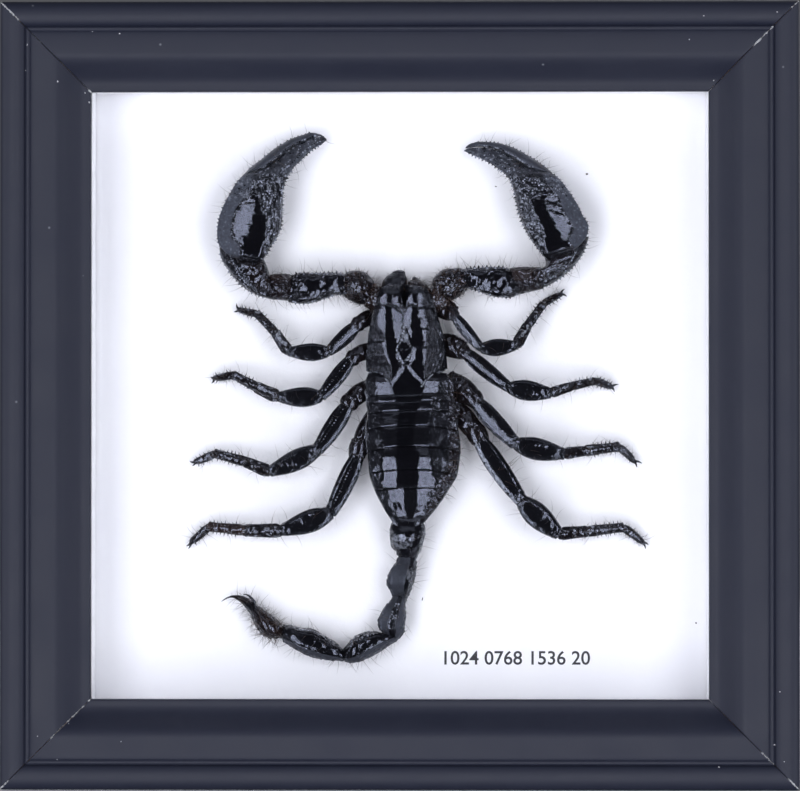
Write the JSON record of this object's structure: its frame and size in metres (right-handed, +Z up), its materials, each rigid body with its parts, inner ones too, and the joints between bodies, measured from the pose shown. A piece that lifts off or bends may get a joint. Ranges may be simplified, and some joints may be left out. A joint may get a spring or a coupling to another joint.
{
  "type": "framed scorpion specimen",
  "caption": "Dried black forest scorpion, legs and pincers spread, mounted on a white board behind glass in a square black moulded shadow-box frame.",
  "frame": {"origin": "middle of the footprint, at the underside of the bottom rail", "axes": "-Y out of the glass towards the viewer, +X to the viewer's right, +Z up"},
  "size_m": [0.152, 0.0322, 0.15],
  "materials": {
    "moulding": "satin blue-black paint on a moulded rail, pale raw edge at the mitres",
    "pane_glass": "clear flat glass",
    "white_liner": "matt white foam-core strip",
    "white_board": "matt white, finely fibrous face",
    "backing": "brown hardboard",
    "zinc_steel": "zinc-plated steel",
    "black_shell": "glossy black dried shell, granular in places",
    "leg_shell": "glossy black-brown dried shell"
  },
  "bodies": {
    "root": {"rail_top": "moulding", "rail_bottom": "moulding", "rail_left": "moulding", "rail_right": "moulding", "glass_pane": "pane_glass", "liner_top": "white_liner", "liner_bottom": "white_liner", "liner_left": "white_liner", "liner_right": "white_liner", "mount_board": "white_board", "back_panel": "backing", "tab_top": "zinc_steel", "tab_bottom": "zinc_steel", "tab_left": "zinc_steel", "tab_right": "zinc_steel", "hanger": "zinc_steel", "hanger_nail_left": "zinc_steel", "hanger_nail_right": "zinc_steel", "carapace": "black_shell", "abdomen": "black_shell", "jaw_left": "black_shell", "jaw_right": "black_shell", "pincer_left_arm": "black_shell", "pincer_left_forearm": "black_shell", "pincer_left_hand": "black_shell", "pincer_left_finger": "black_shell", "pincer_right_arm": "black_shell", "pincer_right_forearm": "black_shell", "pincer_right_hand": "black_shell", "pincer_right_finger": "black_shell", "tail_1": "black_shell", "tail_2": "black_shell", "tail_3": "black_shell", "tail_4": "black_shell", "tail_5": "black_shell", "stinger": "black_shell", "leg_left_1_thigh": "leg_shell", "leg_left_1_knee": "leg_shell", "leg_left_1_foot": "leg_shell", "leg_left_2_thigh": "leg_shell", "leg_left_2_knee": "leg_shell", "leg_left_2_foot": "leg_shell", "leg_left_3_thigh": "leg_shell", "leg_left_3_knee": "leg_shell", "leg_left_3_foot": "leg_shell", "leg_left_4_thigh": "leg_shell", "leg_left_4_knee": "leg_shell", "leg_left_4_foot": "leg_shell", "leg_right_1_thigh": "leg_shell", "leg_right_1_knee": "leg_shell", "leg_right_1_foot": "leg_shell", "leg_right_2_thigh": "leg_shell", "leg_right_2_knee": "leg_shell", "leg_right_2_foot": "leg_shell", "leg_right_3_thigh": "leg_shell", "leg_right_3_knee": "leg_shell", "leg_right_3_foot": "leg_shell", "leg_right_4_thigh": "leg_shell", "leg_right_4_knee": "leg_shell", "leg_right_4_foot": "leg_shell"}
  },
  "joints": []
}
